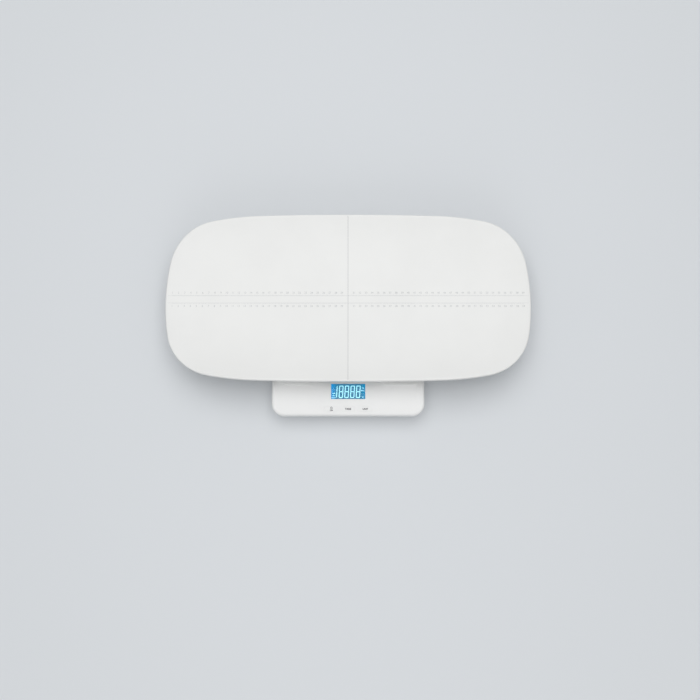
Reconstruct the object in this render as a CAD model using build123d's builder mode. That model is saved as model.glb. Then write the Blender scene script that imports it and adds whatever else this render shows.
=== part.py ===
"""Digital baby weighing scale: a dished tray that plugs onto a low housing with a display and three keys.

Millimetres, +Z up. The origin is on the floor, midway between the tray's back edge and the housing's
front edge. The display faces up at the front, which is -Y. The baby lies along X.
"""

import os
from math import asin, atan, cos, degrees, radians, sin, sqrt, tan

from build123d import *

os.makedirs("parts", exist_ok=True)

# ------------------------------------------------------------------ driving dimensions
# Tray
tray_length = 606.0
tray_width = 280.0
side_bow_radius = 5400.0  # the long sides are nearly straight along the middle
side_bow_length = 294.0
shoulder_radius = 500.0  # and then turn in more and more towards the corners
tray_corner_radius = 88.0
end_bow_radius = 297.0
side_rise = 24.0  # how far the dish rises to the middle of each long side
tray_wall = 3.0
skirt_height = 11.0
skirt_wall = 2.4
tray_rib_height = 6.0
tray_rib_wall = 2.0
tray_rib_pitch = 55.0
tray_rib_spacing = 90.0

# Housing
base_width = 250.0
base_depth = 280.0
base_corner_radius = 20.0
console_reach = 51.0  # how far the housing stands out in front of the tray
foot_clearance = 6.0  # floor to the housing's underside
lower_height = 14.0
upper_height = 16.0
housing_wall = 2.5
lower_inset = 9.0  # the lower shell's sides draw in towards the floor
top_edge_round = 4.0
tongue_height = 2.0
tongue_wall = 1.1
tongue_gap = 0.1
floor_rib_wall = 1.6

# Platform that carries the tray
platform_rise = 2.4
platform_margin = 7.0
platform_front = 50.2  # from the housing's front edge
platform_corner_radius = 14.0
notch_mouth = 122.0  # the platform steps back behind the display
notch_back = 98.0
notch_depth = 9.0
notch_corner_radius = 7.0
platform_rib_height = 5.0
platform_rib_wall = 1.6

# Display
window_length = 56.0
window_width = 25.0
window_front = 27.0  # from the housing's front edge
lens_border = 2.0
lens_thickness = 1.2
lens_gap = 0.1
lcd_border = 4.0
lcd_thickness = 2.0
lcd_gap = 0.2
backlight_thickness = 2.6
strip_width = 2.2
strip_margin = 3.0
frame_wall = 1.4
frame_gap = 0.2

# Keys
key_length = 22.0
key_width = 8.0
key_corner_radius = 3.0
key_pitch = 27.6
key_front = 11.0  # from the housing's front edge to the keys' centre line
key_gap = 0.1
key_flange = 1.4
key_flange_thickness = 1.2
key_stop_gap = 0.1
stem_length = 8.0
stem_width = 4.0
stem_height = 1.8
dome_length = 12.0
dome_width = 8.0
dome_wall = 0.7
dome_taper = 20.0
dome_gap = 0.1

# Main board
board_length = 108.0
board_thickness = 1.6
board_drop = 10.4  # from the housing's top to the board's upper face
board_front = 4.5  # from the housing's front edge
board_width = 55.5
board_screw_inset = 5.0
board_post_size = 6.0
chip_size = 12.0
chip_height = 1.6
crystal_length = 10.0
crystal_width = 4.0
crystal_height = 3.0
socket_length = 12.0  # where the battery leads are soldered
socket_width = 5.0
socket_height = 3.0

# Feet and load cells
foot_inset = 30.0  # from the housing's side to the foot's axis
foot_end_inset = 34.0  # and from its front or back
foot_diameter = 36.0
foot_pad_diameter = 30.0
foot_pad_thickness = 2.0
foot_sides = 18
foot_running_gap = 0.8
foot_stem_size = 12.0
foot_hole_size = 18.0
cell_size = 34.0
cell_thickness = 1.2
cell_slot = 2.0
cell_tongue = 15.0
cell_arm = 5.0
cell_corner_chamfer = 2.0
cell_seat = 2.5
cell_ledge = 4.0
cell_gap = 0.3
well_wall = 1.6
retainer_wall = 4.8
retainer_thickness = 2.4
snap_length = 8.0
snap_reach = 0.9
snap_height = 1.0
snap_gap = 0.1
gauge_length = 5.0
gauge_width = 6.0

# Batteries: AAA cells side by side
battery_diameter = 10.5
battery_sides = 24
battery_length = 43.7
battery_nub_diameter = 3.8
battery_nub_length = 0.8
battery_count = 4
battery_pitch = 11.4
battery_gap = 0.4
contact_thickness = 0.4
contact_width = 7.0
contact_height = 8.0
contact_space = 2.4
contact_gap = 0.1
bay_wall = 1.8
door_thickness = 2.0
door_lap = 3.0
door_gap = 0.3
door_frame_wall = 3.2
door_frame_height = 5.0
door_barrel_diameter = 3.0
door_pin_diameter = 1.6
door_pin_length = 1.5
door_pin_gap = 0.08
door_grip_radius = 9.0
door_grip_depth = 1.4
door_seat_gap = 0.1
door_grip_length = 14.0
door_grip_groove = 1.0
door_latch_slot = 9.0

# Collar under the tray, with pegs that plug into the platform
collar_length = 200.0
collar_width = 130.0
collar_corner_radius = 16.0
collar_wall = 2.5
collar_height = 7.6  # from the platform to the lowest point under the tray
peg_spacing_x = 150.0
peg_spacing_y = 84.0
peg_size = 12.0
peg_length = 8.0
peg_gap = 0.1
peg_floor_gap = 1.0
socket_wall = 2.0

# Screws
case_screw_diameter = 3.0
case_screw_length = 12.0
case_boss_size = 8.0
lower_boss_wall = 1.8
case_boss_inset = 19.5
case_boss_gap = 10.1  # from a load cell's well to the screw beside it
case_screw_grip = 4.0  # how much of the lower boss the screw clamps
small_screw_diameter = 2.2
small_screw_length = 6.0
head_ratio = 1.9  # head diameter over shank diameter
head_height = 1.8
head_gap = 0.3
screw_sides = 8
shank_gap = 0.15

# Leads, flat ribbons
cell_lead_width = 2.4
battery_lead_width = 1.8
lead_thickness = 1.2
lead_gap = 0.3
lead_bend_share = 0.45
cell_lead_run = 26.5  # from a cell's gauge to where its lead turns towards the board
front_lead_x = 38.0  # where the front cells' leads reach the board
rear_lead_x = 28.0  # and the rear cells' leads
rear_lead_side_x = 46.0  # how the rear leads pass the battery bay
rear_lead_side_y = -8.0

# ------------------------------------------------------------------ places worked out from them
total_depth = tray_width + console_reach
front_y = -total_depth / 2
tray_y = total_depth / 2 - tray_width / 2
base_y = front_y + base_depth / 2

bottom_z = foot_clearance
floor_z = bottom_z + housing_wall
split_z = bottom_z + lower_height
top_z = split_z + upper_height
skin_z = top_z - housing_wall  # underside of the housing's top wall
platform_z = top_z + platform_rise
platform_under_z = platform_z - housing_wall
dish_z = platform_z + collar_height + tray_wall  # lowest point of the tray's inner face

window_y = front_y + window_front + window_width / 2
key_y = front_y + key_front
board_z = top_z - board_drop
board_y = front_y + board_front + board_width / 2
board_under_z = board_z - board_thickness
lens_under_z = skin_z - lens_thickness
lcd_z = lens_under_z - lcd_gap
backlight_z = lcd_z - lcd_thickness
lcd_length = window_length + 2 * lcd_border
lcd_width = window_width + 2 * lcd_border
key_flange_z = skin_z - key_stop_gap
stem_z = key_flange_z - key_flange_thickness - stem_height

cell_z = floor_z + cell_seat
retainer_z = cell_z + cell_thickness
retainer_top_z = retainer_z + retainer_thickness
lead_z = retainer_z + retainer_thickness / 2
floor_rib_z = lead_z - lead_thickness / 2 - lead_gap

bay_width = battery_count * battery_pitch + battery_gap
bay_length = battery_length + battery_nub_length + 2 * contact_space
battery_z = bottom_z + door_thickness + battery_gap + battery_diameter / 2
bay_roof_z = battery_z + battery_diameter / 2 + battery_gap
bay_y = base_y
door_width = bay_width + 2 * door_lap
door_length = bay_length + 2 * door_lap
door_axis_y = bay_y + door_length / 2 - door_barrel_diameter / 2
door_axis_z = bottom_z + door_barrel_diameter / 2

dish_radius = (tray_width**2 / 4 + side_rise**2) / (2 * side_rise)

peg_places = [
    (x * peg_spacing_x / 2, tray_y + y * peg_spacing_y / 2) for x in (-1, 1) for y in (-1, 1)
]
foot_places = {
    "front_left": (-1, -1),
    "front_right": (1, -1),
    "rear_left": (-1, 1),
    "rear_right": (1, 1),
}
foot_x = base_width / 2 - foot_inset
foot_y = base_depth / 2 - foot_end_inset
well_inside = cell_size + 2 * cell_gap
well_outside = well_inside + 2 * well_wall
case_boss_x = foot_x - well_outside / 2 - case_boss_gap
case_boss_y = base_depth / 2 - case_boss_inset
case_screw_places = [(x * case_boss_x, base_y + y * case_boss_y) for x, y in foot_places.values()]
board_screw_places = [(x * (board_length / 2 - board_screw_inset), board_y) for x in (-1, 1)]
key_places = {"power": -key_pitch, "tare": 0.0, "unit": key_pitch}


# ------------------------------------------------------------------ shared helpers
def save(piece, name):
    """Label the finished piece and write it."""
    piece.part.label = name
    export_step(piece.part, f"parts/{name}.step")


def tray_outline(inset, z):
    """Bows, shoulders and corners as tangent arcs, drawn in by inset, at height z."""
    bow_centre = Vector(0, tray_width / 2 - side_bow_radius)
    bow_turn = asin(side_bow_length / 2 / side_bow_radius)
    bow_way = Vector(sin(bow_turn), cos(bow_turn))
    shoulder_centre = bow_centre + bow_way * (side_bow_radius - shoulder_radius)
    end_centre = Vector(tray_length / 2 - end_bow_radius, 0)
    # The corner's centre lies a corner radius inside shoulder and end bow: it is where two circles meet.
    shoulder_reach = shoulder_radius - tray_corner_radius
    end_reach = end_bow_radius - tray_corner_radius
    span = end_centre - shoulder_centre
    along = (span.length**2 + shoulder_reach**2 - end_reach**2) / (2 * span.length)
    across = sqrt(shoulder_reach**2 - along**2)
    across_way = Vector(span.Y, -span.X).normalized()
    corner_centre = shoulder_centre + span.normalized() * along + across_way * across
    shoulder_way = (corner_centre - shoulder_centre).normalized()
    end_way = (corner_centre - end_centre).normalized()
    # Each arc of a quarter runs from one way out of its centre to the next.
    arcs = [
        (bow_centre, side_bow_radius, Vector(0, 1), bow_way),
        (shoulder_centre, shoulder_radius, bow_way, shoulder_way),
        (corner_centre, tray_corner_radius, shoulder_way, end_way),
        (end_centre, end_bow_radius, end_way, Vector(1, 0)),
    ]
    with BuildSketch(Plane((0, tray_y, z))) as outline:
        with BuildLine():
            for centre, radius, start_way, stop_way in arcs:
                ways = (start_way, (start_way + stop_way).normalized(), stop_way)
                ThreePointArc(*[centre + way * (radius - inset) for way in ways])
            Polyline((tray_length / 2 - inset, 0), (0, 0), (0, tray_width / 2 - inset))
        make_face()
        mirror(about=Plane.YZ)
        mirror(about=Plane.XZ)
    return outline.sketch


def dish_slab(above, below):
    """A slab that follows the dish, from above its inner face to below it: one arc carried along X."""
    half_arc = asin(tray_width / 1.8 / dish_radius)
    arcs = []
    for radius in (dish_radius - above, dish_radius + below):
        reach = radius * sin(half_arc)
        low_z = dish_z + dish_radius - radius
        end_z = dish_z + dish_radius - radius * cos(half_arc)
        arcs.append(((tray_y - reach, end_z), (tray_y, low_z), (tray_y + reach, end_z)))
    inner, outer = arcs
    with BuildPart() as slab:
        with BuildSketch(Plane.YZ):
            with BuildLine():
                ThreePointArc(*inner)
                Line(inner[2], outer[2])
                ThreePointArc(*outer)
                Line(outer[0], inner[0])
            make_face()
        extrude(amount=tray_length, both=True)
    return slab.part


def housing_outline(inset, z):
    """The housing's outline drawn in by inset, at height z."""
    with BuildSketch(Plane((0, base_y, z))) as outline:
        RectangleRounded(base_width - 2 * inset, base_depth - 2 * inset, base_corner_radius - inset)
    return outline.sketch


def platform_outline(inset, z):
    """The platform's outline, with the step back behind the display, drawn in by inset, at height z."""
    platform_width = base_width - 2 * platform_margin
    platform_depth = base_depth - platform_front - platform_margin
    platform_y = front_y + platform_front + platform_depth / 2
    notch_front_y = front_y + platform_front
    with BuildSketch(Plane.XY.offset(z)) as outline:
        with Locations((0, platform_y)):
            RectangleRounded(platform_width, platform_depth, platform_corner_radius)
        with BuildLine():
            Polyline(
                (-notch_mouth / 2, notch_front_y),
                (-notch_back / 2, notch_front_y + notch_depth),
                (notch_back / 2, notch_front_y + notch_depth),
                (notch_mouth / 2, notch_front_y),
                close=True,
            )
        make_face(mode=Mode.SUBTRACT)
        notch_corners = outline.vertices().filter_by(
            lambda v: abs(v.X) < notch_mouth / 2 + 1 and v.Y < notch_front_y + notch_depth + 1
        )
        fillet(notch_corners, radius=notch_corner_radius)
        if inset:
            offset(amount=-inset, mode=Mode.REPLACE)
    return outline.sketch


def polygons(places, diameter, sides, z):
    """Regular outlines at the places given, at height z."""
    with BuildSketch(Plane.XY.offset(z)) as outlines:
        with Locations(*places):
            RegularPolygon(diameter / 2, sides)
    return outlines.sketch


def squares(places, size, z):
    """Square outlines at the places given, at height z."""
    with BuildSketch(Plane.XY.offset(z)) as outlines:
        with Locations(*places):
            Rectangle(size, size)
    return outlines.sketch


def screw_group(places, seat_z, diameter, length):
    """Plain screws that point up, with their heads below the seat."""
    with BuildPart() as group:
        extrude(polygons(places, diameter, screw_sides, seat_z), amount=length)
        extrude(polygons(places, diameter * head_ratio, screw_sides, seat_z), amount=-head_height)
    return group


def lead(points, width, name):
    """A ribbon lead along straight runs joined by tangent arcs, as large as the runs allow."""
    runs = [points[i + 1] - points[i] for i in range(len(points) - 1)]
    turns = [radians(runs[i].get_angle(runs[i + 1])) for i in range(len(runs) - 1)]
    radii = [
        lead_bend_share * min(runs[i].length, runs[i + 1].length) / tan(turns[i] / 2)
        for i in range(len(turns))
    ]
    with BuildPart() as ribbon:
        with BuildLine() as path:
            FilletPolyline(*points, radius=radii)
        start = Plane(origin=path.line @ 0, x_dir=(0, 0, 1), z_dir=path.line % 0)
        with BuildSketch(start) as section:
            Rectangle(lead_thickness, width)
        sweep()
    print(name, "radii", [round(radius, 1) for radius in radii])
    swept = section.sketch.area * path.wire().length
    print(name, "volume over section times length", round(ribbon.part.volume / swept, 4))
    return ribbon


# ------------------------------------------------------------------ tray
with BuildPart() as skirt:
    extrude(tray_outline(0, bottom_z), amount=tray_length)
    extrude(tray_outline(skirt_wall, bottom_z), amount=tray_length, mode=Mode.SUBTRACT)
    add(dish_slab(0, skirt_height), mode=Mode.INTERSECT)

with BuildPart() as tray_ribs:
    with BuildSketch(Plane((0, tray_y, bottom_z))):
        with GridLocations(0, tray_rib_spacing, 1, 2):
            Rectangle(tray_length, tray_rib_wall)
        for side in (-1, 1):
            with Locations((side * (collar_length / 2 + 1.5 * tray_rib_pitch), 0)):
                with GridLocations(tray_rib_pitch, 0, 3, 1):
                    Rectangle(tray_rib_wall, tray_width)
    extrude(amount=tray_length)
    extrude(tray_outline(skirt_wall / 2, bottom_z), amount=tray_length, mode=Mode.INTERSECT)
    add(dish_slab(-tray_wall / 2, tray_wall + tray_rib_height), mode=Mode.INTERSECT)
    with BuildSketch(Plane((0, tray_y, bottom_z))):
        Rectangle(collar_length - collar_wall, collar_width - collar_wall)
    extrude(amount=tray_length, mode=Mode.SUBTRACT)

with BuildPart() as collar:
    pocket_length = (collar_length - 3 * collar_wall) / 2
    pocket_width = (collar_width - 3 * collar_wall) / 2
    with BuildSketch(Plane((0, tray_y, platform_z))):
        RectangleRounded(collar_length, collar_width, collar_corner_radius)
        with GridLocations(collar_length / 2, collar_width / 2, 2, 2):
            Rectangle(pocket_length, pocket_width, mode=Mode.SUBTRACT)
    extrude(amount=2 * side_rise)
    extrude(squares(peg_places, peg_size, platform_z), amount=2 * side_rise)
    add(dish_slab(-tray_wall / 2, 2 * side_rise), mode=Mode.INTERSECT)
    extrude(squares(peg_places, peg_size, platform_z - peg_length), amount=peg_length)

with BuildPart() as tray_shell:
    extrude(tray_outline(0, bottom_z), amount=tray_length)
    add(dish_slab(0, tray_wall), mode=Mode.INTERSECT)
    add(skirt.part)
    add(tray_ribs.part)
    add(collar.part)
save(tray_shell, "tray_shell")

# ------------------------------------------------------------------ upper shell
screw_seat_z = split_z - case_screw_grip
case_pilot_z = screw_seat_z + case_screw_length + shank_gap

socket_size = peg_size + 2 * peg_gap
socket_z = platform_z - peg_length - peg_floor_gap

with BuildPart() as upper_hollow:
    extrude(housing_outline(housing_wall, split_z), amount=upper_height - housing_wall)
    extrude(platform_outline(housing_wall, skin_z), amount=platform_under_z - skin_z)
    # Left standing in it: bosses for the case screws, posts for the board, sockets for the tray's pegs, ribs
    case_bosses = squares(case_screw_places, case_boss_size, split_z)
    extrude(case_bosses, amount=platform_z - split_z, mode=Mode.SUBTRACT)
    board_posts = squares(board_screw_places, board_post_size, board_z)
    extrude(board_posts, amount=platform_z - board_z, mode=Mode.SUBTRACT)
    socket_cups = squares(peg_places, socket_size + 2 * socket_wall, socket_z - socket_wall)
    extrude(socket_cups, amount=platform_z - socket_z + socket_wall, mode=Mode.SUBTRACT)
    with BuildSketch(Plane((0, tray_y, platform_under_z - platform_rib_height))):
        with GridLocations(peg_spacing_x, 0, 2, 1):
            Rectangle(platform_rib_wall, 2 * base_depth)
        with GridLocations(0, peg_spacing_y, 1, 2):
            Rectangle(base_width, platform_rib_wall)
    extrude(amount=platform_rib_height, mode=Mode.SUBTRACT)

with BuildPart() as upper_shell:
    extrude(housing_outline(0, split_z), amount=upper_height)
    fillet(upper_shell.faces().sort_by(Axis.Z)[-1].edges(), radius=top_edge_round)
    extrude(platform_outline(0, top_z), amount=platform_rise)
    add(upper_hollow.part, mode=Mode.SUBTRACT)
    rebate = housing_wall - tongue_wall - tongue_gap
    extrude(housing_outline(rebate, split_z), amount=tongue_height + tongue_gap, mode=Mode.SUBTRACT)
    socket_bore = squares(peg_places, socket_size, socket_z)
    extrude(socket_bore, amount=platform_z - socket_z, mode=Mode.SUBTRACT)
    case_pilot = polygons(case_screw_places, case_screw_diameter + 2 * shank_gap, screw_sides, split_z)
    extrude(case_pilot, amount=case_pilot_z - split_z, mode=Mode.SUBTRACT)
    board_pilot = polygons(
        board_screw_places, small_screw_diameter + 2 * shank_gap, screw_sides, board_z
    )
    extrude(board_pilot, amount=small_screw_length - board_thickness, mode=Mode.SUBTRACT)
    # Openings for the window and the keys
    with BuildSketch(Plane.XY.offset(skin_z)):
        with Locations((0, window_y)):
            Rectangle(window_length, window_width)
        with Locations(*[(x, key_y) for x in key_places.values()]):
            RectangleRounded(
                key_length + 2 * key_gap, key_width + 2 * key_gap, key_corner_radius + key_gap
            )
    extrude(amount=platform_z - skin_z, mode=Mode.SUBTRACT)
save(upper_shell, "upper_shell")

# ------------------------------------------------------------------ lower shell
foot_points = [(x * foot_x, base_y + y * foot_y) for x, y in foot_places.values()]
case_head_hole = case_screw_diameter * head_ratio + 2 * head_gap
snap_z = retainer_top_z + snap_gap
lead_notch = cell_lead_width + 2 * lead_gap
lead_notch_z = lead_z - lead_thickness / 2 - lead_gap
bay_front_y = bay_y - bay_length / 2
battery_lead_z = battery_z + contact_height / 4


def housing_taper(inset, low_z):
    """The space inside the tapered outline, drawn in by inset, from low_z to the split."""
    with BuildPart() as block:
        add(housing_outline(inset, split_z))
        extrude(amount=low_z - split_z, taper=degrees(atan(lower_inset / lower_height)))
    return block.part


with BuildPart() as floor_ribs:
    with BuildSketch(Plane((0, bay_y, bottom_z))):
        with GridLocations(0, bay_length + bay_wall, 1, 2):
            Rectangle(base_width, floor_rib_wall)
        with GridLocations(bay_width + bay_wall, 0, 2, 1):
            Rectangle(floor_rib_wall, 2 * base_depth)
    extrude(amount=floor_rib_z - bottom_z)
    add(housing_taper(housing_wall / 2, bottom_z), mode=Mode.INTERSECT)

with BuildPart() as lower_shell:
    add(housing_taper(0, bottom_z))
    add(housing_taper(housing_wall, floor_z), mode=Mode.SUBTRACT)
    # Tongue round the top edge
    extrude(housing_outline(housing_wall - tongue_wall, split_z - tongue_height), amount=2 * tongue_height)
    tongue_inside = housing_outline(housing_wall, split_z - tongue_height)
    extrude(tongue_inside, amount=2 * tongue_height, mode=Mode.SUBTRACT)
    add(floor_ribs.part)
    # Battery bay and the frame round its door
    with BuildSketch(Plane((0, bay_y, bottom_z))):
        Rectangle(bay_width + 2 * bay_wall, bay_length + 2 * bay_wall)
    extrude(amount=bay_roof_z + bay_wall - bottom_z)
    with BuildSketch(Plane((0, bay_y, bottom_z))):
        Rectangle(
            door_width + 2 * (door_gap + door_frame_wall), door_length + 2 * (door_gap + door_frame_wall)
        )
    extrude(amount=door_frame_height)
    with BuildSketch(Plane((0, bay_y, bottom_z))):
        Rectangle(bay_width, bay_length)
    extrude(amount=bay_roof_z - bottom_z, mode=Mode.SUBTRACT)
    with BuildSketch(Plane((0, bay_y, bottom_z))):
        Rectangle(door_width + 2 * door_gap, door_length + 2 * door_gap)
    extrude(amount=door_thickness + door_seat_gap, mode=Mode.SUBTRACT)
    with BuildSketch(Plane((0, bay_y - door_length / 2, bottom_z))):
        Circle(door_grip_radius)
    extrude(amount=door_grip_depth, mode=Mode.SUBTRACT)
    with BuildSketch(Plane(origin=(0, door_axis_y, door_axis_z), z_dir=(1, 0, 0))):
        Circle(door_barrel_diameter / 2 + door_gap)
    extrude(amount=door_width / 2 + door_gap, both=True, mode=Mode.SUBTRACT)
    with BuildSketch(Plane(origin=(0, door_axis_y, door_axis_z), z_dir=(1, 0, 0))):
        Circle(door_pin_diameter / 2 + door_pin_gap)
    extrude(amount=door_width / 2 + 2 * door_gap + door_pin_length, both=True, mode=Mode.SUBTRACT)
    with BuildSketch(
        Plane(origin=(0, bay_front_y, battery_lead_z), x_dir=(1, 0, 0), z_dir=(0, -1, 0))
    ):
        with GridLocations((battery_count - 1) * battery_pitch, 0, 2, 1):
            Rectangle(battery_lead_width + 2 * lead_gap, lead_thickness + 2 * lead_gap)
    extrude(amount=bay_wall, mode=Mode.SUBTRACT)
    # Case screw bosses
    extrude(squares(case_screw_places, case_head_hole + 2 * lower_boss_wall, bottom_z), amount=lower_height)
    head_bore = polygons(case_screw_places, case_head_hole, screw_sides, bottom_z)
    extrude(head_bore, amount=screw_seat_z - bottom_z, mode=Mode.SUBTRACT)
    shank_bore = polygons(
        case_screw_places, case_screw_diameter + 2 * shank_gap, screw_sides, bottom_z
    )
    extrude(shank_bore, amount=lower_height, mode=Mode.SUBTRACT)
    # Wells that hold the load cells
    with BuildSketch(Plane.XY.offset(floor_z)):
        with Locations(*foot_points):
            Rectangle(well_outside, well_outside)
            Rectangle(well_inside, well_inside, mode=Mode.SUBTRACT)
    extrude(amount=snap_z + snap_height - floor_z)
    with BuildSketch(Plane.XY.offset(floor_z)):
        with Locations(*foot_points):
            Rectangle(well_inside, well_inside)
            Rectangle(cell_size - 2 * cell_ledge, cell_size - 2 * cell_ledge, mode=Mode.SUBTRACT)
    extrude(amount=cell_seat)
    with BuildSketch(Plane.XY.offset(snap_z)):
        with Locations(*foot_points):
            with GridLocations(0, well_inside - snap_reach, 1, 2):
                Rectangle(snap_length, snap_reach)
    extrude(amount=snap_height)
    foot_hole = squares(foot_points, foot_hole_size, bottom_z)
    extrude(foot_hole, amount=housing_wall, mode=Mode.SUBTRACT)
    with BuildSketch(Plane.XY.offset(lead_notch_z)):
        for x, y in foot_places.values():
            with Locations((x * (foot_x - well_outside / 2), base_y + y * foot_y)):
                Rectangle(2 * well_wall, lead_notch)
    extrude(amount=lower_height, mode=Mode.SUBTRACT)
save(lower_shell, "lower_shell")

case_screws = screw_group(case_screw_places, screw_seat_z, case_screw_diameter, case_screw_length)
save(case_screws, "case_screws")

# ------------------------------------------------------------------ feet and load cells
foot_top_z = bottom_z - foot_running_gap
for name, (side, end) in foot_places.items():
    centre = (side * foot_x, base_y + end * foot_y)

    with BuildPart() as foot_pad:
        extrude(polygons([centre], foot_pad_diameter, foot_sides, 0), amount=foot_pad_thickness)
    save(foot_pad, "foot_pad_" + name)

    with BuildPart() as foot:
        foot_disc = polygons([centre], foot_diameter, foot_sides, foot_pad_thickness)
        extrude(foot_disc, amount=foot_top_z - foot_pad_thickness)
        extrude(squares([centre], foot_stem_size, foot_pad_thickness), amount=cell_z - foot_pad_thickness)
    save(foot, "foot_" + name)

    with BuildPart() as load_cell:
        cell_opening = cell_size - 2 * cell_arm
        with BuildSketch(Plane((*centre, cell_z))):
            cell_plate = Rectangle(cell_size, cell_size)
            chamfer(cell_plate.vertices(), length=cell_corner_chamfer)
            Rectangle(cell_opening, cell_tongue + 2 * cell_slot, mode=Mode.SUBTRACT)
            with Locations((side * cell_slot / 2, 0)):
                Rectangle(cell_opening - cell_slot, cell_tongue)
        extrude(amount=cell_thickness)
        with BuildSketch(Plane((*centre, retainer_z))):
            Rectangle(gauge_length, gauge_width)
        extrude(amount=retainer_thickness)
    save(load_cell, "load_cell_" + name)

    with BuildPart() as cell_retainer:
        retainer_size = well_inside - cell_gap
        retainer_opening = retainer_size - 2 * retainer_wall
        with BuildSketch(Plane((*centre, retainer_z))):
            Rectangle(retainer_size, retainer_size)
            Rectangle(retainer_opening, retainer_opening, mode=Mode.SUBTRACT)
            with Locations((-side * (retainer_size - retainer_wall) / 2, 0)):
                Rectangle(2 * retainer_wall, lead_notch, mode=Mode.SUBTRACT)
        extrude(amount=retainer_thickness)
    save(cell_retainer, "cell_retainer_" + name)

# ------------------------------------------------------------------ batteries, contacts and door
battery_xs = [(i - (battery_count - 1) / 2) * battery_pitch for i in range(battery_count)]

for i, x in enumerate(battery_xs):
    # Neighbours point opposite ways, so that the contacts join them in a chain.
    way = 1 if i % 2 else -1
    base_end_y = bay_y - way * (bay_length / 2 - contact_space)
    with BuildPart() as battery:
        with BuildSketch(Plane(origin=(x, base_end_y, battery_z), z_dir=(0, way, 0))):
            RegularPolygon(battery_diameter / 2, battery_sides)
        extrude(amount=battery_length)
        with BuildSketch(Plane(origin=(x, base_end_y, battery_z), z_dir=(0, way, 0))):
            RegularPolygon(battery_nub_diameter / 2, screw_sides)
        extrude(amount=battery_length + battery_nub_length)
    save(battery, "battery_" + str(i + 1))


def contact_strips(groups, way):
    """Bent strips on one end wall of the bay, one for each group of battery places."""
    wall_y = bay_y + way * bay_length / 2
    plate_middle = contact_gap + contact_thickness / 2
    tip = contact_space - contact_gap - contact_thickness / 2
    with BuildPart() as strips:
        for group in groups:
            middle = sum(group) / len(group)
            with BuildSketch(
                Plane(origin=(middle, wall_y, battery_z), x_dir=(0, -way, 0), z_dir=(-way, 0, 0))
            ):
                with Locations((plate_middle, 0)):
                    Rectangle(contact_thickness, contact_height)
            extrude(amount=(max(group) - min(group) + contact_width) / 2, both=True)
            for x in group:
                with BuildSketch(
                    Plane(origin=(x, wall_y, battery_z), x_dir=(0, -way, 0), z_dir=(-way, 0, 0))
                ):
                    with BuildLine():
                        Polyline(
                            (plate_middle, contact_height / 2 - contact_thickness / 2),
                            (tip, 0),
                            (plate_middle + tip / 4, -contact_height / 4),
                        )
                    trace(line_width=contact_thickness)
                extrude(amount=contact_width / 2, both=True)
    return strips


front_contacts = contact_strips([battery_xs[:1], battery_xs[1:3], battery_xs[3:]], -1)
save(front_contacts, "battery_contacts_front")
rear_contacts = contact_strips([battery_xs[:2], battery_xs[2:]], 1)
save(rear_contacts, "battery_contacts_rear")

with BuildPart() as battery_door:
    door_front_y = bay_y - door_length / 2
    plate_length = door_axis_y - door_front_y
    with BuildSketch(Plane((0, door_front_y + plate_length / 2, bottom_z))):
        Rectangle(door_width, plate_length)
        with Locations((0, (door_latch_slot - plate_length) / 2)):
            with GridLocations(door_grip_length, 0, 2, 1):
                Rectangle(door_grip_groove, door_latch_slot, mode=Mode.SUBTRACT)
    extrude(amount=door_thickness)
    with BuildSketch(Plane((0, door_front_y + door_latch_slot / 2, bottom_z))):
        with GridLocations(0, 2 * door_grip_groove, 1, 3):
            Rectangle(door_grip_length / 2, door_grip_groove)
    extrude(amount=door_grip_groove / 2, mode=Mode.SUBTRACT)
    with BuildSketch(Plane(origin=(0, door_axis_y, door_axis_z), z_dir=(1, 0, 0))):
        Circle(door_barrel_diameter / 2)
    extrude(amount=door_width / 2, both=True)
    with BuildSketch(Plane(origin=(0, door_axis_y, door_axis_z), z_dir=(1, 0, 0))):
        Circle(door_pin_diameter / 2)
    extrude(amount=door_width / 2 + door_gap + door_pin_length, both=True)
save(battery_door, "battery_door")

# ------------------------------------------------------------------ display
with BuildPart() as display_window:
    with BuildSketch(Plane((0, window_y, skin_z))):
        Rectangle(window_length - 2 * lens_gap, window_width - 2 * lens_gap)
    extrude(amount=housing_wall)
    with BuildSketch(Plane((0, window_y, lens_under_z))):
        Rectangle(window_length + 2 * lens_border, window_width + 2 * lens_border)
    extrude(amount=lens_thickness)
save(display_window, "display_window")

with BuildPart() as lcd_glass:
    with BuildSketch(Plane((0, window_y, backlight_z))):
        Rectangle(lcd_length, lcd_width)
    extrude(amount=lcd_thickness)
save(lcd_glass, "lcd_glass")

strip_y = window_y + lcd_width / 2 - strip_width / 2 - frame_gap
frame_floor_z = backlight_z - backlight_thickness

with BuildPart() as lcd_backlight:
    light_width = lcd_width - strip_width - 2 * frame_gap
    with BuildSketch(Plane((0, window_y - (lcd_width - light_width) / 2, frame_floor_z))):
        Rectangle(lcd_length, light_width)
    extrude(amount=backlight_thickness)
save(lcd_backlight, "lcd_backlight")

with BuildPart() as contact_strip:
    with BuildSketch(Plane((0, strip_y, board_z))):
        Rectangle(lcd_length - 2 * strip_margin, strip_width)
    extrude(amount=backlight_z - board_z)
save(contact_strip, "lcd_contact_strip")

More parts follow.
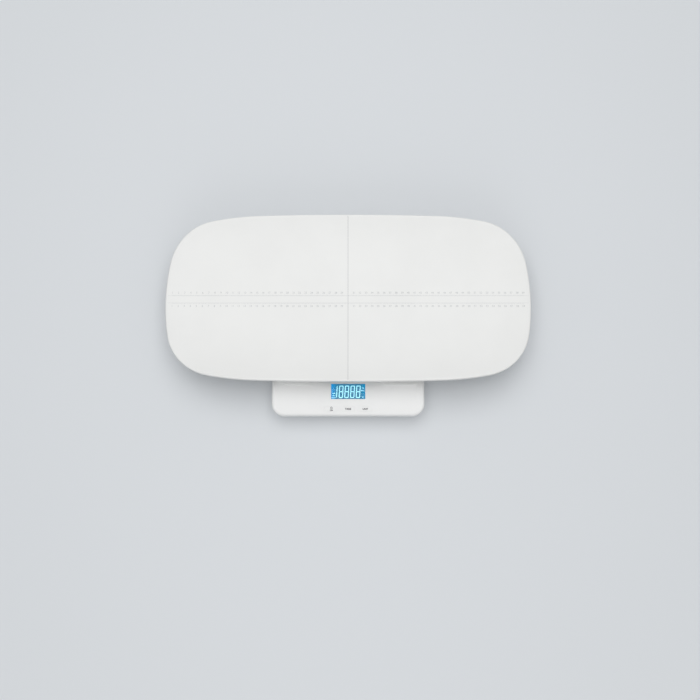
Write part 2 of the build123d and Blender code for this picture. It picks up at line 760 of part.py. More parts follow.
with BuildPart() as lcd_frame:
    with BuildSketch(Plane((0, window_y, board_z))):
        Rectangle(lcd_length + 2 * (frame_gap + frame_wall), lcd_width + 2 * (frame_gap + frame_wall))
    extrude(amount=lcd_z - board_z)
    with BuildSketch(Plane((0, window_y, frame_floor_z))):
        Rectangle(lcd_length + 2 * frame_gap, lcd_width + 2 * frame_gap)
    extrude(amount=lcd_z - frame_floor_z, mode=Mode.SUBTRACT)
    with BuildSketch(Plane((0, strip_y, board_z))):
        Rectangle(lcd_length - 2 * strip_margin + 2 * lens_gap, strip_width + 2 * lens_gap)
        with Locations((0, window_y - strip_y - strip_width / 2)):
            Rectangle(lcd_length - 2 * lcd_border, lcd_width - 2 * lcd_border - strip_width)
    extrude(amount=frame_floor_z - board_z, mode=Mode.SUBTRACT)
save(lcd_frame, "lcd_frame")

# ------------------------------------------------------------------ keys
for name, x in key_places.items():
    with BuildPart() as key:
        with BuildSketch(Plane((x, key_y, key_flange_z - key_flange_thickness))):
            RectangleRounded(key_length, key_width, key_corner_radius)
        extrude(amount=top_z - key_flange_z + key_flange_thickness)
        with BuildSketch(Plane((x, key_y, key_flange_z - key_flange_thickness))):
            Rectangle(key_length + 2 * key_flange, key_width + 2 * key_flange)
        extrude(amount=key_flange_thickness)
        with BuildSketch(Plane((x, key_y, stem_z))):
            Rectangle(stem_length, stem_width)
        extrude(amount=stem_height)
    save(key, "key_" + name)

    with BuildPart() as dome:
        dome_height = stem_z - dome_gap - board_z
        with BuildSketch(Plane((x, key_y, board_z))):
            Rectangle(dome_length, dome_width)
        extrude(amount=dome_height, taper=dome_taper)
        with BuildSketch(Plane((x, key_y, board_z))):
            Rectangle(dome_length - 2 * dome_wall, dome_width - 2 * dome_wall)
        extrude(amount=dome_height - 2 * dome_wall, taper=dome_taper, mode=Mode.SUBTRACT)
    save(dome, "key_dome_" + name)

# ------------------------------------------------------------------ board
lead_entry_y = board_y + board_width / 2 - board_screw_inset

with BuildPart() as main_board:
    with BuildSketch(Plane((0, board_y, board_under_z))):
        Rectangle(board_length, board_width)
    extrude(amount=board_thickness)
    board_hole = polygons(
        board_screw_places, small_screw_diameter + 2 * shank_gap, screw_sides, board_under_z
    )
    extrude(board_hole, amount=board_thickness, mode=Mode.SUBTRACT)
save(main_board, "main_board")

with BuildPart() as board_parts:
    with BuildSketch(Plane((0, board_y, board_under_z))):
        Rectangle(chip_size, chip_size)
    extrude(amount=-chip_height)
    with BuildSketch(Plane((0, board_y, board_under_z))):
        with GridLocations(3 * chip_size, 0, 2, 1):
            Rectangle(crystal_length, crystal_width)
    extrude(amount=-crystal_height)
    with BuildSketch(Plane((0, lead_entry_y - socket_width, board_under_z))):
        Rectangle(socket_length, socket_width)
    extrude(amount=-socket_height)
save(board_parts, "board_parts")

board_screws = screw_group(board_screw_places, board_under_z, small_screw_diameter, small_screw_length)
save(board_screws, "board_screws")

# ------------------------------------------------------------------ leads
for name, (side, end) in foot_places.items():
    start = Vector(side * (foot_x - gauge_length / 2), base_y + end * foot_y, lead_z)
    entry_x = side * (front_lead_x if end < 0 else rear_lead_x)
    route = [start, Vector(start.X - side * cell_lead_run, start.Y, lead_z)]
    if end > 0:
        route.append(Vector(side * rear_lead_side_x, rear_lead_side_y, lead_z))
    route.append(Vector(entry_x, lead_entry_y, lead_z))
    route.append(Vector(entry_x, lead_entry_y, board_under_z))
    cell_lead = lead(route, cell_lead_width, "cell_lead_" + name)
    save(cell_lead, "cell_lead_" + name)

for name, side in (("positive", 1), ("negative", -1)):
    start = Vector(side * battery_xs[-1], bay_front_y + contact_gap, battery_lead_z)
    route = [
        start,
        Vector(start.X, lead_entry_y, start.Z),
        Vector(start.X, lead_entry_y, board_under_z),
    ]
    battery_lead = lead(route, battery_lead_width, "battery_lead_" + name)
    save(battery_lead, "battery_lead_" + name)
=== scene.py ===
from math import cos, pi, radians, sin, sqrt

import bmesh
import bpy
import numpy as np
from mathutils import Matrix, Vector


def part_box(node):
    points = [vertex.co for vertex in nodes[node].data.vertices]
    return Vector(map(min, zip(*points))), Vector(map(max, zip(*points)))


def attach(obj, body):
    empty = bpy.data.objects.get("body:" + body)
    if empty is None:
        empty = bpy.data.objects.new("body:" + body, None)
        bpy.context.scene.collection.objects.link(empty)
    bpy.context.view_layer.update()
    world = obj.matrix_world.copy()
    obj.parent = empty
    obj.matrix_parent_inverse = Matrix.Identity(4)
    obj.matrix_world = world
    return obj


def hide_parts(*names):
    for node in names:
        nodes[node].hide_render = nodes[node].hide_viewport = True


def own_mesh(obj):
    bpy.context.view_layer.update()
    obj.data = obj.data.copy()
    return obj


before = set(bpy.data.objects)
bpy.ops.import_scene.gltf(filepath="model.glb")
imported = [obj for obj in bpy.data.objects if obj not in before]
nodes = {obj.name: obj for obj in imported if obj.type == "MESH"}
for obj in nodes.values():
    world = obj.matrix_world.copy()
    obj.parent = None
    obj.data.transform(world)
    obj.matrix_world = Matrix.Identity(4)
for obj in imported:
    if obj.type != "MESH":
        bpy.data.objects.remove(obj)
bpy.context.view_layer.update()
print("frame loaded:", len(nodes), "nodes")

# sizes and names shared by several pieces, in metres
trayY = 0.0255  # the tray's middle, across the scale
trayLow = 0.049  # the lowest line of the tray's inner face
dishRadius = 0.42033  # the arc across that face
platformZ = 0.0384  # the platform under the tray
topZ = 0.036  # the console and the tops of its keys
corners = ("front_left", "front_right", "rear_left", "rear_right")
keys = ("power", "tare", "unit")
easeAngle = radians(32)  # edges that turn more than this are rounded
creaseAngle = radians(40)  # and on turned metal these stay crisp


# helpers for colours, meshes and the dish

def linear(color):
    # screen colour 0..255 to linear light, with the usual 2.4 power curve
    values = np.array(color, float) / 255
    bent = np.where(values <= 0.04045, values / 12.92, ((values + 0.055) / 1.055) ** 2.4)
    return tuple(float(v) for v in bent) + (1.0,)


def grey(value):
    # the same share of red, green and blue
    return (value, value, value, 1.0)


def addObject(name, data):
    # a new object in the scene, at the origin
    added = bpy.data.objects.new(name, data)
    bpy.context.scene.collection.objects.link(added)
    return added


def meshPiece(name, points, faces, material, body, slot, smooth=True):
    # one mesh from an array of points and a list of faces, riding on a body; the slot is not used
    mesh = bpy.data.meshes.new(name)
    mesh.from_pydata([tuple(p) for p in np.asarray(points, float).tolist()], [], [tuple(f) for f in faces])
    mesh.polygons.foreach_set("use_smooth", [smooth] * len(mesh.polygons))
    mesh.materials.append(material)
    mesh.update()
    piece = addObject(name, mesh)
    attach(piece, body)
    return piece


def gridFaces(rows, columns, wrap):
    # quads between neighbouring rows of a grid of points; wrap joins the last column to the first
    r = np.arange(rows - 1)[:, None] * columns
    c = np.arange(columns if wrap else columns - 1)[None, :]
    after = (c + 1) % columns
    quads = np.stack([r + c, r + after, r + columns + after, r + columns + c], axis=-1)
    return quads.reshape(-1, 4).tolist()


def capFaces(first, count, pole, flip):
    # a fan of triangles from one closed row of points to a pole
    here = first + np.arange(count)
    there = first + (np.arange(count) + 1) % count
    ends = np.full(count, pole)
    fan = np.stack([there, here, ends] if not flip else [here, there, ends], axis=-1)
    return fan.tolist()


def skinFaces(rows, columns, flip):
    # a wrapped grid closed by a fan at each end; its two poles follow the grid's points
    faces = gridFaces(rows, columns, True)
    if flip:
        faces = [face[::-1] for face in faces]
    faces += capFaces(0, columns, rows * columns, flip)
    faces += capFaces((rows - 1) * columns, columns, rows * columns + 1, not flip)
    return faces


def dishZ(y):
    # height of the tray's inner face: a circular arc across the tray, straight along it
    return trayLow + dishRadius - np.sqrt(dishRadius**2 - (y - trayY) ** 2)


# finishes made of shader nodes, patterned on the piece's own coordinates

def makeMaterial(name):
    # a new material and its main shader
    material = bpy.data.materials.new(name)
    material.use_nodes = True
    return material, material.node_tree.nodes["Principled BSDF"]


def addNode(material, kind, **settings):
    # a node of the given kind with its settings
    node = material.node_tree.nodes.new(kind)
    for key, value in settings.items():
        setattr(node, key, value)
    return node


def link(material, source, target):
    material.node_tree.links.new(source, target)


def noiseOf(material, scale, detail, stretch=(1, 1, 1)):
    # noise on the piece's own coordinates, in metres
    coords = addNode(material, "ShaderNodeTexCoord")
    mapping = addNode(material, "ShaderNodeMapping")
    mapping.inputs["Scale"].default_value = stretch
    noise = addNode(material, "ShaderNodeTexNoise")
    noise.inputs["Scale"].default_value = scale
    noise.inputs["Detail"].default_value = detail
    link(material, coords.outputs["Object"], mapping.inputs["Vector"])
    link(material, mapping.outputs["Vector"], noise.inputs["Vector"])
    return noise


def rampOf(material, source, stops):
    # colours blended between stops of place and colour
    ramp = addNode(material, "ShaderNodeValToRGB")
    link(material, source, ramp.inputs["Fac"])
    elements = ramp.color_ramp.elements
    while len(elements) < len(stops):
        elements.new(0.5)
    for element, (place, color) in zip(elements, stops):
        element.position = place
        element.color = color
    return ramp


def rangeOf(material, source, start, stop, **settings):
    # the share of the way from start to stop, 0 before and 1 beyond
    spread = addNode(material, "ShaderNodeMapRange", **settings)
    spread.inputs["From Min"].default_value = start
    spread.inputs["From Max"].default_value = stop
    link(material, source, spread.inputs["Value"])
    return spread.outputs["Result"]


def bumpOf(material, shader, source, height):
    # fine relief of the given height
    bump = addNode(material, "ShaderNodeBump")
    bump.inputs["Distance"].default_value = height
    link(material, source, bump.inputs["Height"])
    link(material, bump.outputs["Normal"], shader.inputs["Normal"])


def grainFinish(name, color, finish):
    # a faint drift of tone, uneven gloss and a fine moulded or brushed grain
    material, shader = makeMaterial(name)
    drift = noiseOf(material, finish["driftScale"], finish["driftDetail"])
    dark = tuple(c * (1 - finish["spread"]) for c in color[:3]) + (1.0,)
    start, stop = finish["driftStops"]
    tone = rampOf(material, drift.outputs["Fac"], [(start, dark), (stop, color)])
    link(material, tone.outputs["Color"], shader.inputs["Base Color"])
    gloss = noiseOf(material, finish["glossScale"], finish["glossDetail"])
    start, stop = finish["glossStops"]
    low = grey(finish["rough"] - finish["roughSpread"])
    high = grey(finish["rough"] + finish["roughSpread"])
    uneven = rampOf(material, gloss.outputs["Fac"], [(start, low), (stop, high)])
    link(material, uneven.outputs["Color"], shader.inputs["Roughness"])
    fine = noiseOf(material, finish["grain"], finish["grainDetail"], finish["stretch"])
    bumpOf(material, shader, fine.outputs["Fac"], finish["grainHeight"])
    shader.inputs["Metallic"].default_value = finish["metal"]
    return material


moulded = {
    "driftScale": 14.0,
    "driftDetail": 3.0,
    "driftStops": (0.35, 0.65),
    "spread": 0.02,
    "glossScale": 90.0,
    "glossDetail": 4.0,
    "glossStops": (0.3, 0.7),
    "rough": 0.34,
    "roughSpread": 0.05,
    "grain": 2600.0,
    "grainDetail": 2.0,
    "grainHeight": 0.00002,
    "stretch": (1, 1, 1),
    "metal": 0.0,
}
soft = dict(moulded, rough=0.72, grain=1500.0, grainHeight=0.00006, spread=0.12)
plated = dict(moulded, rough=0.3, metal=1.0, spread=0.06, grain=700.0, grainHeight=0.00001)
brushed = dict(plated, rough=0.38, stretch=(1, 14, 1), grain=500.0)
sleeved = dict(moulded, rough=0.24, spread=0.06)
banded = dict(plated, rough=0.26)

colorOfFinish = {
    "housingPlastic": ((233, 233, 232), moulded),
    "trayPlastic": ((232, 232, 230), moulded),
    "innerPlastic": ((208, 209, 208), moulded),
    "footRubber": ((128, 130, 132), soft),
    "domeRubber": ((92, 94, 96), soft),
    "zincPlate": ((196, 196, 190), plated),
    "cellSteel": ((184, 186, 188), brushed),
    "blackResin": ((28, 28, 30), moulded),
    "milkGuide": ((226, 238, 246), moulded),
    "redSheath": ((176, 30, 26), moulded),
    "whiteSheath": ((222, 222, 218), moulded),
    "cellSleeve": ((52, 54, 58), sleeved),
    "cellBand": ((196, 142, 72), banded),
}
finishes = {name: grainFinish(name, linear(color), kind) for name, (color, kind) in colorOfFinish.items()}

board = {
    "runScale": 90.0,
    "lacquer": linear((18, 92, 48)),
    "lacquerLight": linear((22, 104, 54)),
    "copperRun": linear((60, 140, 84)),
    "runWidth": 0.04,
    "rough": 0.32,
}


def boardFinish():
    # green lacquer over copper runs: the joints of a brick pattern show through as lighter green
    material, shader = makeMaterial("boardLacquer")
    coords = addNode(material, "ShaderNodeTexCoord")
    runs = addNode(material, "ShaderNodeTexBrick")
    runs.inputs["Scale"].default_value = board["runScale"]
    runs.inputs["Color1"].default_value = board["lacquer"]
    runs.inputs["Color2"].default_value = board["lacquerLight"]
    runs.inputs["Mortar"].default_value = board["copperRun"]
    runs.inputs["Mortar Size"].default_value = board["runWidth"]
    link(material, coords.outputs["Object"], runs.inputs["Vector"])
    link(material, runs.outputs["Color"], shader.inputs["Base Color"])
    shader.inputs["Roughness"].default_value = board["rough"]
    return material


finishes["boardLacquer"] = boardFinish()


# the display: backlit blue glass under a clear window

display = {
    "deep": linear((48, 128, 166)),
    "bright": linear((24, 150, 216)),
    "farGlow": linear((26, 142, 190)),
    "reach": 0.0255,
    "nearFade": 0.14,
    "farFade": 0.88,
    "glow": 0.95,
    "glass": linear((6, 24, 40)),
    "rough": 0.3,
    "shine": 0.1,
    "digit": linear((172, 242, 255)),
    "digitBase": 0.3,
    "digitGlow": 1.0,
    "digitHeight": 0.0203,
    "digitWidth": 0.0070,
    "stroke": 0.0014,
    "chamfer": 0.0007,
    "gap": 0.00012,
    "slant": 0.06,
    "middleY": -0.1261,
    # painted shade: how dark the glow gets along the window's front and back edges, and how far in that
    # reaches
    "paintedEdgeShade": 0.6,
    "edgeReach": 0.1,
    "proud": 0.00004,
    "oneX": -0.0185,
    "eightX": (-0.0116, -0.0023, 0.0071, 0.0165),
    # each word with its height, its boldness and its place
    "words": [
        ("TARE", 0.0016, 0.048, -0.0237, -0.1288),
        ("ZERO", 0.0013, 0.048, -0.0237, -0.1324),
        ("HOLD", 0.0016, 0.048, -0.0237, -0.1358),
        ("kg", 0.0024, 0.0, 0.0240, -0.1196),
        ("lb:oz", 0.0018, 0.048, 0.0237, -0.1242),
        ("ml", 0.0020, 0.048, 0.0240, -0.1346),
    ],
}
window = {"color": (0.97, 0.99, 1.0, 1.0), "clear": 1.0, "rough": 0.0, "bend": 1.2}


def digitFinish():
    # a pale glow over a dimmer base of the same colour
    material, shader = makeMaterial("digitGlow")
    color = display["digit"]
    shader.inputs["Base Color"].default_value = tuple(display["digitBase"] * c for c in color[:3]) + (1.0,)
    shader.inputs["Emission Color"].default_value = color
    shader.inputs["Emission Strength"].default_value = display["digitGlow"]
    shader.inputs["Roughness"].default_value = display["rough"]
    return material


def backlightFinish():
    # the lamp sits at the left end and its guide ends at the right, so both ends glow more than the middle;
    # along the front and back edges the glow is darkened, which is painted shade
    material, shader = makeMaterial("blueDisplay")
    coords = addNode(material, "ShaderNodeTexCoord")
    parts = addNode(material, "ShaderNodeSeparateXYZ")
    link(material, coords.outputs["Object"], parts.inputs["Vector"])
    along = rangeOf(material, parts.outputs["X"], -display["reach"], display["reach"])
    stops = [
        (0.0, display["bright"]),
        (display["nearFade"], display["deep"]),
        (display["farFade"], display["deep"]),
        (1.0, display["farGlow"]),
    ]
    shade = rampOf(material, along, stops)
    low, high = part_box("display_window")
    across = rangeOf(material, parts.outputs["Y"], low.y, high.y)
    # painted shade: the glow is darkened along the window's front and back edges
    rim, full, edge = grey(display["paintedEdgeShade"]), grey(1.0), display["edgeReach"]
    stops = [(0.0, rim), (edge, full), (1 - edge, full), (1.0, rim)]
    edges = rampOf(material, across, stops)
    dimmed = addNode(material, "ShaderNodeMix", data_type="RGBA", blend_type="MULTIPLY")
    dimmed.inputs["Factor"].default_value = 1.0
    link(material, shade.outputs["Color"], dimmed.inputs["A"])
    link(material, edges.outputs["Color"], dimmed.inputs["B"])
    link(material, dimmed.outputs["Result"], shader.inputs["Emission Color"])
    shader.inputs["Emission Strength"].default_value = display["glow"]
    shader.inputs["Base Color"].default_value = display["glass"]
    shader.inputs["Roughness"].default_value = display["rough"]
    shader.inputs["Specular IOR Level"].default_value = display["shine"]
    return material


def windowFinish():
    # clear plastic that bends light a little
    material, shader = makeMaterial("clearWindow")
    shader.inputs["Base Color"].default_value = window["color"]
    shader.inputs["Transmission Weight"].default_value = window["clear"]
    shader.inputs["Roughness"].default_value = window["rough"]
    shader.inputs["IOR"].default_value = window["bend"]
    return material


finishes["blueDisplay"] = backlightFinish()
finishes["clearWindow"] = windowFinish()
digitGlow = digitFinish()
print("finishes made")

# which finish each carried-over node gets, by its whole name or by how the name starts
finishOfNode = {
    "upper_shell": "housingPlastic",
    "lower_shell": "housingPlastic",
    "battery_door": "housingPlastic",
    "tray_shell": "trayPlastic",
    "case_screws": "zincPlate",
    "board_screws": "zincPlate",
    "battery_contacts_front": "zincPlate",
    "battery_contacts_rear": "zincPlate",
    "display_window": "clearWindow",
    "lcd_glass": "blueDisplay",
    "lcd_backlight": "milkGuide",
    "lcd_contact_strip": "domeRubber",
    "lcd_frame": "innerPlastic",
    "main_board": "boardLacquer",
    "board_parts": "blackResin",
    "battery_lead_positive": "redSheath",
    "battery_lead_negative": "blackResin",
}
finishOfKind = {
    "battery_": "cellSleeve",
    "foot_pad_": "footRubber",
    "foot_": "housingPlastic",
    "load_cell_": "cellSteel",
    "cell_retainer_": "innerPlastic",
    "cell_lead_": "whiteSheath",
    "key_dome_": "domeRubber",
    "key_": "housingPlastic",
}
for name, piece in nodes.items():
    finish = finishOfNode.get(name)
    if finish is None:
        finish = next(value for start, value in finishOfKind.items() if name.startswith(start))
    piece.data.materials.clear()
    piece.data.materials.append(finishes[finish])


# the moulded housing, its door and keys: copies of the rigid nodes with every outside edge eased

easing = {
    "upper": 0.00012,
    "lower": 0.00035,
    "door": 0.00025,
    "key": 0.00008,
    "segments": 2,
    "mergeWithin": 0.000002,
    "flatWithin": radians(0.6),
}


def ease(piece, width, segments=easing["segments"]):
    # rounds every sharp edge of a piece
    bevel = piece.modifiers.new("easedEdges", "BEVEL")
    bevel.width = width
    bevel.segments = segments
    bevel.limit_method = "ANGLE"
    bevel.angle_limit = easeAngle
    bevel.harden_normals = True


def easedCopy(node, name, body, width):
    # the node's own triangles merged into one skin, with flat neighbours joined, then eased
    mesh = nodes[node].data.copy()
    mesh.name = name
    skin = bmesh.new()
    skin.from_mesh(mesh)
    bmesh.ops.remove_doubles(skin, verts=skin.verts, dist=easing["mergeWithin"])
    bmesh.ops.dissolve_limit(skin, angle_limit=easing["flatWithin"], verts=skin.verts, edges=skin.edges)
    skin.to_mesh(mesh)
    skin.free()
    mesh.polygons.foreach_set("use_smooth", [True] * len(mesh.polygons))
    mesh.set_sharp_from_angle(angle=easeAngle)
    piece = addObject(name, mesh)
    ease(piece, width)
    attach(piece, body)
    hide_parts(node)


easedCopy("upper_shell", "upperHousing", "base", easing["upper"])
easedCopy("lower_shell", "lowerHousing", "base", easing["lower"])
easedCopy("battery_door", "batteryDoor", "battery_door", easing["door"])
for name in keys:
    easedCopy("key_" + name, name + "Key", "key_" + name, easing["key"])
print("housing eased")


# the tray: one closed skin whose profile runs over the dish, round the rim, down the skirt and back under

tray = {
    "length": 0.606,
    "width": 0.280,
    "sideBow": 5.400,
    "bowLength": 0.294,
    "shoulder": 0.500,
    "corner": 0.088,
    "endBow": 0.297,
    "wall": 0.003,
    "skirt": 0.011,
    "skirtWall": 0.0024,
    "rimRound": 0.0022,
    "lipRound": 0.0008,
    "around": 640,
    "rings": 40,
    "firstRing": 0.02,
    "ringPower": 0.8,
    "rimSteps": 7,
    "lipSteps": 4,
}


def trayOutline(count):
    # each quarter is four tangent arcs, from the end bow by corner and shoulder to the side bow, with the
    # places spread evenly along it; the quarter is folded four ways, anticlockwise
    bowTurn = np.arcsin(tray["bowLength"] / 2 / tray["sideBow"])
    bowWay = np.array([np.sin(bowTurn), np.cos(bowTurn)])
    bowCentre = np.array([0.0, tray["width"] / 2 - tray["sideBow"]])
    shoulderCentre = bowCentre + bowWay * (tray["sideBow"] - tray["shoulder"])
    endCentre = np.array([tray["length"] / 2 - tray["endBow"], 0.0])
    span = endCentre - shoulderCentre
    reach = float(np.hypot(*span))
    a = tray["shoulder"] - tray["corner"]
    b = tray["endBow"] - tray["corner"]
    along = (reach**2 + a**2 - b**2) / (2 * reach)
    unit = span / reach
    cornerCentre = shoulderCentre + unit * along + np.array([unit[1], -unit[0]]) * sqrt(a**2 - along**2)
    shoulderTurn = np.arctan2(*(cornerCentre - shoulderCentre)[::-1])
    endTurn = np.arctan2(*(cornerCentre - endCentre)[::-1])
    centres = np.array([endCentre, cornerCentre, shoulderCentre, bowCentre])
    radii = np.array([tray["endBow"], tray["corner"], tray["shoulder"], tray["sideBow"]])
    turns = np.array([0, endTurn, shoulderTurn, pi / 2 - bowTurn, pi / 2])
    marks = np.concatenate([[0], np.cumsum(np.diff(turns) * radii)])
    step = np.arange(count) * 4 / count
    quarter = np.floor(step).astype(int)
    share = np.where(quarter % 2 == 0, step - quarter, 1 - step + quarter)
    turn = np.interp(share * marks[-1], marks, turns)
    arc = np.clip(np.searchsorted(turns, turn, side="right") - 1, 0, 3)
    way = np.stack([np.cos(turn), np.sin(turn)], axis=-1)
    sign = np.array([[1, 1], [-1, 1], [-1, -1], [1, -1]])[quarter]
    return (centres[arc] + way * radii[arc][:, None]) * sign, way * sign


def roundOff(centre, radius, start, stop, steps):
    # an arc of the rim's profile as inset and height pairs, from one angle to another
    turn = np.radians(np.linspace(start, stop, steps))
    return np.stack([centre[0] + radius * np.cos(turn), centre[1] + radius * np.sin(turn)], axis=-1)


def buildTray():
    # each ring is the outline drawn in by an inset and scaled towards the middle, lifted to the dish
    # plus a height
    outline, ways = trayOutline(tray["around"])
    r, lip, wall = tray["rimRound"], tray["lipRound"], tray["skirtWall"]
    inward = np.linspace(tray["firstRing"], 1.0, tray["rings"]) ** tray["ringPower"]
    topRings = [(s, r, 0.0) for s in inward[:-1]]
    steps = tray["lipSteps"]
    rim = roundOff((r, -r), r, 90, 180, tray["rimSteps"])
    low = roundOff((lip, -tray["skirt"] + lip), lip, 180, 270, steps)
    lowIn = roundOff((wall - lip, -tray["skirt"] + lip), lip, 270, 360, steps)
    up = roundOff((wall + lip, -tray["wall"] - lip), lip, 180, 90, steps)
    profile = [(1.0, inset, height) for inset, height in np.concatenate([rim, low, lowIn, up])]
    underRings = [(s, wall + lip, -tray["wall"]) for s in inward[-2::-1]]
    rings = np.array(topRings + profile + underRings)
    flat = (outline[None] - ways[None] * rings[:, None, None, 1]) * rings[:, None, None, 0]
    x = flat[..., 0]
    y = flat[..., 1] + trayY
    z = dishZ(y) + rings[:, 2][:, None]
    grid = np.stack([x, y, z], axis=-1)
    poles = np.array([[0, trayY, trayLow], [0, trayY, trayLow - tray["wall"]]])
    points = np.concatenate([grid.reshape(-1, 3), poles])
    faces = skinFaces(*grid.shape[:2], True)
    piece = meshPiece("trayDish", points, faces, finishes["trayPlastic"], "tray", "white_plastic")
    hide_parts("tray_shell")


buildTray()


# under the tray: stiffening ribs, the collar that stands on the housing, and its pegs

under = {
    "ribHeight": 0.006,
    "ribWall": 0.002,
    "ribY": 0.045,
    "crossX": (0.1275, 0.1825, 0.2375),
    "collarLength": 0.200,
    "collarWidth": 0.130,
    "collarRound": 0.016,
    "collarWall": 0.0025,
    "pegX": 0.075,
    "pegY": 0.042,
    "pegSize": 0.012,
    "pegFoot": 0.0304,
    "ease": 0.0003,
    "pegEase": 0.0008,
    "pegSegments": 3,
    "step": 0.0004,
    "tracePlaces": 2000,
    "longPlaces": 40,
    "crossPlaces": 60,
    "roundPlaces": 14,
    "loopPlaces": 90,
}


def wallPoints(path, wall, tops, bottoms, closed):
    # an upright wall carried along a level path: four corners at each place, half a wall to either side
    ahead = np.roll(path, -1, axis=0) - np.roll(path, 1, axis=0) if closed else np.gradient(path, axis=0)
    side = np.stack([-ahead[:, 1], ahead[:, 0]], axis=-1)
    side = side / np.hypot(side[:, 0], side[:, 1])[:, None] * wall / 2
    left, right = path + side, path - side
    edges = [(left, tops), (right, tops), (right, bottoms), (left, bottoms)]
    grid = np.stack([np.column_stack([flat, high]) for flat, high in edges], axis=1)
    rows = len(path)
    points = grid.reshape(-1, 3)
    faces = gridFaces(rows, 4, True)
    if closed:
        last = (rows - 1) * 4
        faces += [(last + i, last + (i + 1) % 4, (i + 1) % 4, i) for i in range(4)]
    else:
        faces += [(3, 2, 1, 0), tuple((rows - 1) * 4 + i for i in range(4))]
    return points, faces


def joined(shapes):
    # several point and face lists as one
    points, faces, first = [], [], 0
    for shapePoints, shapeFaces in shapes:
        points.append(np.asarray(shapePoints))
        faces += [tuple(first + i for i in face) for face in shapeFaces]
        first += len(shapePoints)
    return np.concatenate(points), faces


def straightPath(start, stop, count):
    # places spread evenly from start to stop
    share = np.linspace(0, 1, count)[:, None]
    return np.array(start) * (1 - share) + np.array(stop) * share


def roundedPath(length, width, radius, steps):
    # a rectangle with quarter-circle corners about the tray's middle, anticlockwise
    turn = np.linspace(0, pi / 2, steps)
    corner = np.stack([np.cos(turn), np.sin(turn)], axis=-1) * radius
    middle = np.array([length / 2 - radius, width / 2 - radius])
    quarter = corner + middle
    flip = np.array([[-1, 1]])
    loop = np.concatenate([quarter, quarter[::-1] * flip, -quarter, -quarter[::-1] * flip, quarter[:1]])
    # more places along the straight sides, so that a wall's top can follow the dish
    marks = np.concatenate([[0], np.cumsum(np.hypot(*np.diff(loop, axis=0).T))])
    extra = np.linspace(0, marks[-1], under["loopPlaces"], endpoint=False)[1:]
    places = np.unique(np.concatenate([marks[:-1], extra]))
    return np.column_stack([np.interp(places, marks, loop[:, 0]), np.interp(places, marks, loop[:, 1])])


def buildRibs():
    # walls that reach from inside the dish's skin down past it by a rib's height; the crosswise ones end
    # a step higher, so that no two feet share a plane where they cross
    outline, ways = trayOutline(under["tracePlaces"])
    inner = outline - ways * tray["skirtWall"] / 2
    quarter = inner[(inner[:, 0] >= 0) & (inner[:, 1] >= 0)]
    quarter = quarter[np.argsort(quarter[:, 0])]
    crossEnds = np.interp(under["crossX"], quarter[:, 0], quarter[:, 1])
    across = quarter[np.argsort(quarter[:, 1])]
    longEnd = float(np.interp(under["ribY"], across[:, 1], across[:, 0]))
    start = under["collarLength"] / 2 - under["collarWall"] / 2
    ribs = []
    for side in (-1, 1):
        for y in (-under["ribY"], under["ribY"]):
            path = straightPath((side * start, y), (side * longEnd, y), under["longPlaces"])
            ribs.append((path, under["ribHeight"]))
        for x, end in zip(under["crossX"], crossEnds):
            path = straightPath((side * x, -end), (side * x, end), under["crossPlaces"])
            ribs.append((path, under["ribHeight"] - under["step"]))
    shapes = []
    for path, height in ribs:
        path = path + [[0, trayY]]
        tops = dishZ(path[:, 1]) - tray["wall"] / 2
        shapes.append(wallPoints(path, under["ribWall"], tops, tops - tray["wall"] / 2 - height, False))
    points, faces = joined(shapes)
    piece = meshPiece("trayRibs", points, faces, finishes["trayPlastic"], "tray", "white_plastic")
    ease(piece, under["ease"])


def buildCollar():
    # a rounded loop of wall that stands on the platform, and inside it two crossing walls, each with its
    # foot a step higher than the one before
    wall = under["collarWall"]
    length, width = under["collarLength"] - wall, under["collarWidth"] - wall
    loop = roundedPath(length, width, under["collarRound"] - wall / 2, under["roundPlaces"]) + [[0, trayY]]
    count = under["longPlaces"]
    lengthwise = straightPath((-length / 2, trayY), (length / 2, trayY), count)
    crosswise = straightPath((0, trayY - width / 2), (0, trayY + width / 2), count)
    shapes = []
    for steps, path in enumerate((loop, lengthwise, crosswise)):
        tops = dishZ(path[:, 1]) - tray["wall"] / 2
        feet = np.full(len(path), platformZ + steps * under["step"])
        shapes.append(wallPoints(path, wall, tops, feet, steps == 0))
    points, faces = joined(shapes)
    piece = meshPiece("trayCollar", points, faces, finishes["trayPlastic"], "tray", "white_plastic")
    ease(piece, under["ease"])


def buildPegs():
    # four square pegs, each a short thick wall from inside the dish's skin down into its socket
    shapes = []
    half = under["pegSize"] / 2
    for x in (-under["pegX"], under["pegX"]):
        for y in (trayY - under["pegY"], trayY + under["pegY"]):
            path = straightPath((x - half, y), (x + half, y), 2)
            tops = np.full(2, float(dishZ(y)) - tray["wall"] / 2)
            shapes.append(wallPoints(path, under["pegSize"], tops, np.full(2, under["pegFoot"]), False))
    points, faces = joined(shapes)
    piece = meshPiece("trayPegs", points, faces, finishes["trayPlastic"], "tray", "white_plastic")
    ease(piece, under["pegEase"], under["pegSegments"])


buildRibs()
buildCollar()
buildPegs()
print("tray built")


# printing: thin coloured skins a few hundredths of a millimetre proud of what carries them

inked = dict(moulded, rough=0.55, spread=0.1, grainHeight=0.000004)
lettering = {"capitalShare": 0.73, "curveSteps": 4, "root": 0.00001}

